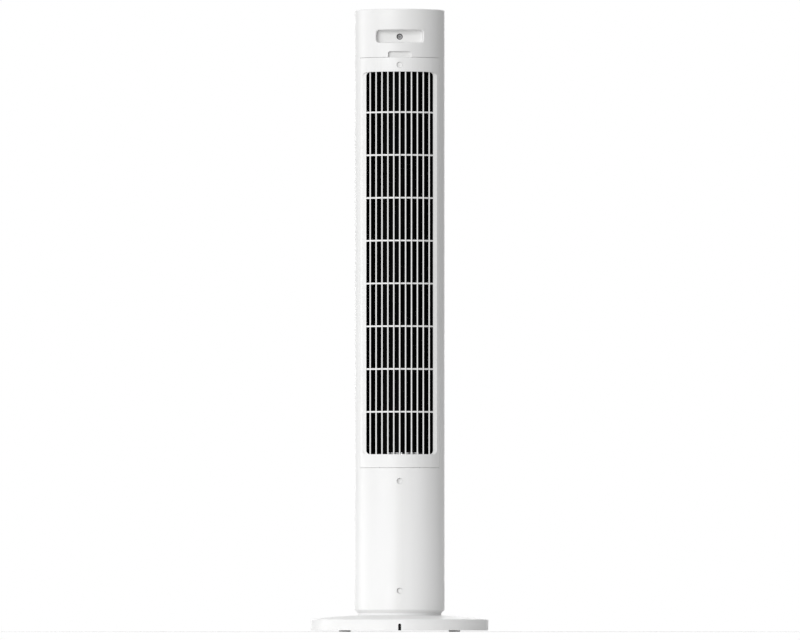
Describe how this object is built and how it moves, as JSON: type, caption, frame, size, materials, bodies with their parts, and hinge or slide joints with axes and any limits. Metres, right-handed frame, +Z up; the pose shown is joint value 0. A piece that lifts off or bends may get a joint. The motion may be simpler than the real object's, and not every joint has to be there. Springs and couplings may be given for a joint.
{
  "type": "tower fan",
  "caption": "Tall white tower fan: a slim round column with a barred rear air inlet and carry handle hollow, swinging on a low round base.",
  "frame": {"origin": "on the floor under the middle of the round base, on the column's swing axis", "axes": "+Z up; the air inlet, handle hollow and screw plugs face +Y; the air outlet faces -Y"},
  "size_m": [0.314, 0.314, 1.1],
  "materials": {
    "white_plastic": "satin",
    "button_plastic": "matte",
    "display_plastic": "gloss",
    "black_plastic": "matte",
    "white_nylon": "matte",
    "foot_rubber": "matte",
    "black_rubber": "matte",
    "screw_steel": "satin",
    "ballast_steel": "matte",
    "zinc_steel": "satin",
    "bearing_steel": "polished",
    "core_steel": "matte",
    "copper_coil": "satin",
    "bearing_bronze": "satin",
    "circuit_board": "satin",
    "board_parts": "matte",
    "capacitor_case": "satin"
  },
  "bodies": {
    "base": {"base_cover": "white_plastic", "base_plate": "black_plastic", "ballast_plate": "ballast_steel", "base_feet": "foot_rubber", "base_screws": "screw_steel", "cord_gland": "black_rubber", "pivot_post": "white_nylon", "pivot_screws": "screw_steel", "sun_gear": "white_nylon", "retaining_ring": "screw_steel", "lower_race": "zinc_steel"},
    "bearing_cage": {"bearing_cage": "black_plastic", "bearing_balls": "bearing_steel"},
    "column": {"swivel_plate": "white_plastic", "oscillation_motor": "zinc_steel", "upper_race": "zinc_steel", "front_shell": "white_plastic", "rear_shell": "white_plastic", "rear_grille": "white_plastic", "front_grille": "white_plastic", "screw_plugs": "white_plastic", "shell_screws": "screw_steel", "handle_washer": "black_rubber", "grille_screw": "screw_steel", "motor_deck": "black_plastic", "motor_housing": "zinc_steel", "motor_stator": "core_steel", "motor_coils": "copper_coil", "motor_bearings": "bearing_bronze", "motor_grommets": "black_rubber", "motor_screws": "screw_steel", "top_deck": "black_plastic", "end_bearing_rubber": "black_rubber", "end_bearing_bush": "bearing_bronze", "scroll_wall": "black_plastic", "tongue_wall": "black_plastic", "board_carrier": "black_plastic", "power_board": "circuit_board", "power_board_parts": "board_parts", "motor_capacitor": "capacitor_case", "capacitor_bracket": "zinc_steel", "control_board": "circuit_board", "board_screws": "screw_steel", "tact_switches": "black_plastic", "top_cap": "white_plastic", "display_window": "display_plastic"},
    "swing_pinion": {"swing_pinion": "white_nylon"},
    "impeller": {"motor_rotor": "core_steel", "motor_shaft": "bearing_steel", "impeller_hub": "black_plastic", "hub_set_screw": "screw_steel", "impeller_segments": "black_plastic", "impeller_end_disc": "black_plastic", "impeller_end_shaft": "bearing_steel"},
    "power_button": {"power_button": "button_plastic"},
    "speed_button": {"speed_button": "button_plastic"},
    "swing_button": {"swing_button": "button_plastic"},
    "timer_button": {"timer_button": "button_plastic"}
  },
  "joints": [
    {"name": "column_swing", "type": "hinge", "parent": "base", "child": "column", "pos_m": [0, 0, 0.026], "axis": [0, 0, 1], "range_deg": [-40, 40]},
    {"name": "cage_roll", "type": "hinge", "parent": "base", "child": "bearing_cage", "pos_m": [0, 0, 0.0212], "axis": [0, 0, 1], "range_deg": [-20, 20]},
    {"name": "pinion_spin", "type": "hinge", "parent": "column", "child": "swing_pinion", "pos_m": [0, -0.036, 0.022], "axis": [0, 0, 1], "range_deg": [-200, 200]},
    {"name": "impeller_spin", "type": "hinge", "parent": "column", "child": "impeller", "pos_m": [-0.004, 0.012, 0.32], "axis": [0, 0, 1], "continuous": true},
    {"name": "power_press", "type": "slide", "parent": "column", "child": "power_button", "axis": [0, 0, -1], "range_m": [0, 0.0008], "stiffness_N_per_m": 300, "springref_m": -0.001},
    {"name": "speed_press", "type": "slide", "parent": "column", "child": "speed_button", "axis": [0, 0, -1], "range_m": [0, 0.0008], "stiffness_N_per_m": 300, "springref_m": -0.001},
    {"name": "swing_press", "type": "slide", "parent": "column", "child": "swing_button", "axis": [0, 0, -1], "range_m": [0, 0.0008], "stiffness_N_per_m": 300, "springref_m": -0.001},
    {"name": "timer_press", "type": "slide", "parent": "column", "child": "timer_button", "axis": [0, 0, -1], "range_m": [0, 0.0008], "stiffness_N_per_m": 300, "springref_m": -0.001}
  ],
  "couplings": [
    {"joint": "cage_roll", "follows": "column_swing", "ratio": 0.5},
    {"joint": "pinion_spin", "follows": "column_swing", "ratio": 5}
  ]
}
